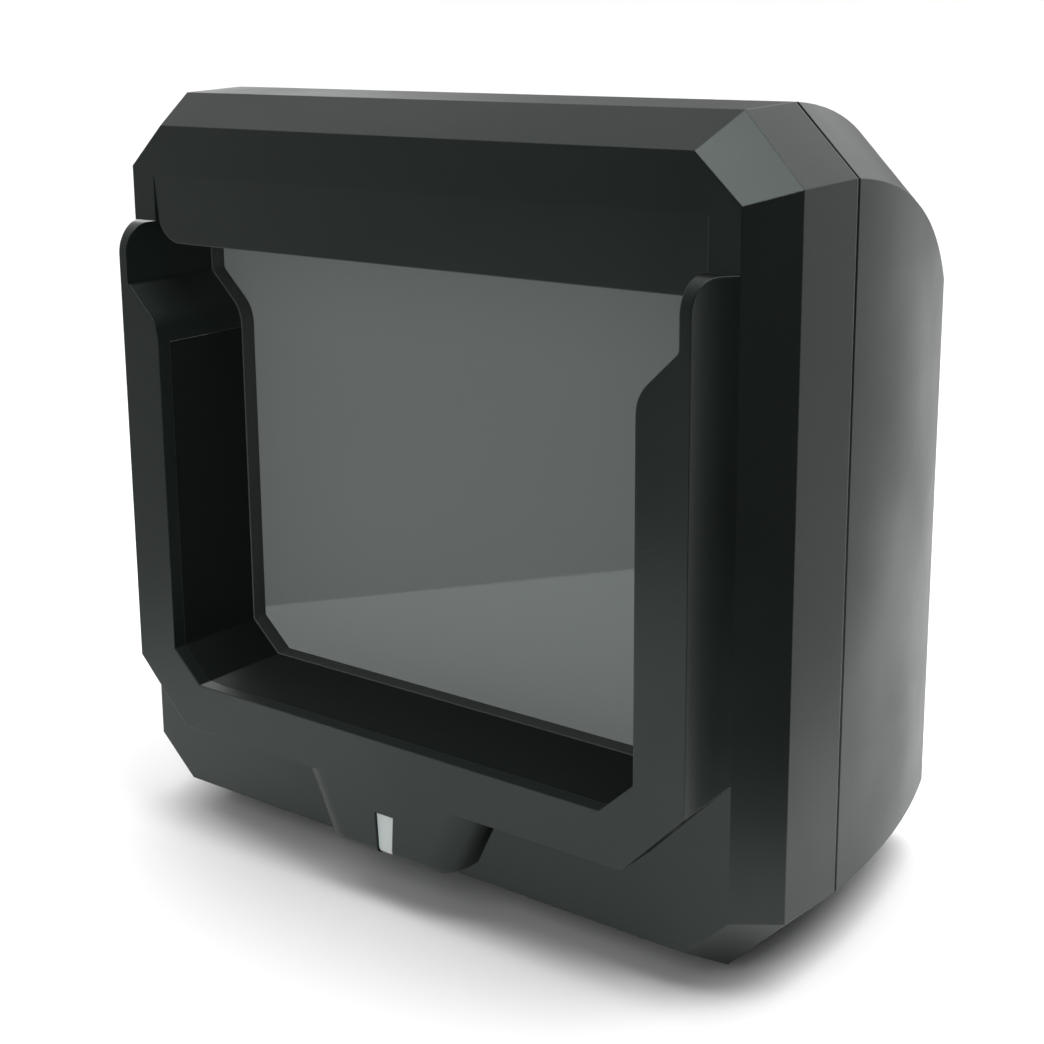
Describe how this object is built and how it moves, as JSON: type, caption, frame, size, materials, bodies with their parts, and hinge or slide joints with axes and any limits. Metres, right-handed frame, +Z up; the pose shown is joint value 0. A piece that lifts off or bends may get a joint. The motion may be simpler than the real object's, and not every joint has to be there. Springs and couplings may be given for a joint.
{
  "type": "presentation barcode scanner",
  "caption": "Free-standing octagonal hands-free barcode scanner with a deep-set tinted window, a raised U-shaped frame, a curved rear cover and a sprung push bar on top.",
  "frame": {"origin": "on the table under the middle of the scanner: the bottom centre of its bounding box", "axes": "+Z up, -Y out of the scan window towards the shopper, +X to the right as the scanner is seen from behind; the outside is symmetric about X = 0"},
  "size_m": [0.1514, 0.0874, 0.1501],
  "materials": {
    "front_shell": "fine textured black plastic",
    "rear_shell": "fine textured black plastic",
    "liner": "satin black plastic",
    "bezel": "satin dark grey plastic",
    "bar": "satin black plastic",
    "window": "tinted hard-coated window",
    "rubber": "soft matte rubber",
    "light_pipe": "translucent pale grey",
    "diffuser": "translucent white",
    "lens": "clear",
    "circuit_board": "green solder mask",
    "chip": "moulded package",
    "emitter": "emitter package",
    "component": "board component",
    "inner_moulding": "black inner moulding",
    "jack_shell": "socket body",
    "contact_gold": "plated contact",
    "screw_steel": "zinc-plated screw",
    "spring_steel": "spring wire",
    "ballast_steel": "plain steel plate",
    "mesh_steel": "black perforated mesh",
    "speaker_cone": "paper cone and steel basket",
    "insert_brass": "knurled brass",
    "label": "blank printed film"
  },
  "bodies": {
    "scanner": {"front_housing": "front_shell", "window_shroud": "liner", "window_bezel": "bezel", "scan_window": "window", "window_gasket": "rubber", "status_light_pipe": "light_pipe", "status_led_board": "circuit_board", "status_led": "emitter", "status_board_screws": "screw_steel", "rear_cover": "rear_shell", "bar_springs": "spring_steel", "bar_switches": "component", "switch_board": "circuit_board", "switch_board_screws": "screw_steel", "rubber_feet": "rubber", "base_inserts": "insert_brass", "case_screws": "screw_steel", "rating_label": "label", "speaker_mesh": "mesh_steel", "speaker": "speaker_cone", "interface_jack": "jack_shell", "jack_contacts": "contact_gold", "optical_chassis": "inner_moulding", "light_baffle": "inner_moulding", "lens_holder": "inner_moulding", "lens_barrel": "inner_moulding", "front_lens": "lens", "image_sensor": "chip", "imager_board": "circuit_board", "imager_screws": "screw_steel", "main_board": "circuit_board", "main_board_screws": "screw_steel", "processor": "chip", "memory_chips": "chip", "power_parts": "component", "board_connectors": "component", "flat_cable": "component", "chassis_screws": "screw_steel", "ballast_plate": "ballast_steel", "left_led_board": "circuit_board", "left_led_emitters": "emitter", "left_diffuser": "diffuser", "right_led_board": "circuit_board", "right_led_emitters": "emitter", "right_diffuser": "diffuser"},
    "push_bar": {"function_bar": "bar", "bar_tips": "bar"}
  },
  "joints": [
    {"name": "bar_press", "type": "slide", "parent": "scanner", "child": "push_bar", "axis": [0, -0.4491, -0.8935], "range_m": [0, 0.0008], "stiffness_N_per_m": 1500, "springref_m": -0.0012, "deforming": ["bar_springs"]}
  ]
}
